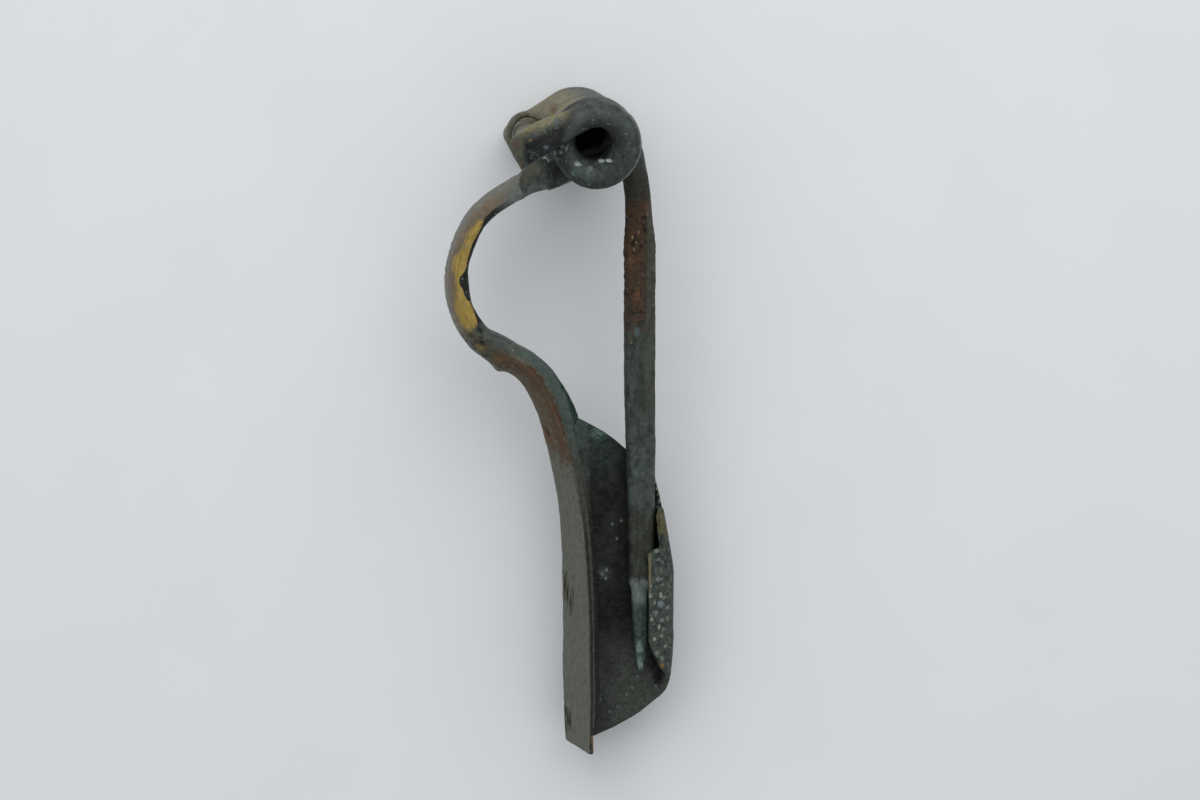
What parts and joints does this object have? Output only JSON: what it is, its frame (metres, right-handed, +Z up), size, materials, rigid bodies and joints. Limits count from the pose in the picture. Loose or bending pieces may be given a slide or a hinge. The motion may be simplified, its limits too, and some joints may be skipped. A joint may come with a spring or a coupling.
{
  "type": "eye brooch",
  "caption": "Wrought bronze dress brooch with an arched bow, eyed head, coiled bilateral spring, hooked chord, roof-shaped foot, catchplate and sprung pin, lying on its side.",
  "frame": {"origin": "centre of the bounding box's base, on the surface that the brooch lies on", "axes": "+Y from the foot towards the head along the brooch's length, +X from the bow towards the pin, +Z up"},
  "size_m": [0.0252, 0.0736, 0.0285],
  "materials": {
    "grey_patina": "smooth grey-green patina with a dull sheen",
    "worn_brass": "patina rubbed away to bare brass on the near side",
    "olive_bronze": "worn olive-grey patina with reddish streaks",
    "dark_patina": "dark, slightly grainy patina with pale specks",
    "coil_patina": "grey-green patina, paler on the crowns of the turns",
    "brown_pin": "rust-brown patina towards the spring, grey-green towards the tip"
  },
  "bodies": {
    "bow": {"head_plate": "grey_patina", "chord_hook": "grey_patina", "bow_arch": "worn_brass", "bow_crest": "grey_patina", "foot": "olive_bronze", "catchplate": "dark_patina", "catch_fold": "grey_patina", "coils_far": "coil_patina", "chord": "coil_patina"},
    "pin_spring": {"coils_near": "coil_patina"},
    "pin": {"pin": "brown_pin"}
  },
  "joints": [
    {"name": "pin_swing", "type": "hinge", "parent": "bow", "child": "pin_spring", "pos_m": [0.00312, 0.03074, 0.01359], "axis": [0.0985, -0.1102, 0.989], "range_deg": [-2.5, 0], "stiffness_Nm_per_rad": 0.1},
    {"name": "pin_release", "type": "hinge", "parent": "pin_spring", "child": "pin", "pos_m": [0.00858, 0.02402, 0.01397], "axis": [-0.2134, 0.9765, -0.031], "range_deg": [0, 256]}
  ]
}
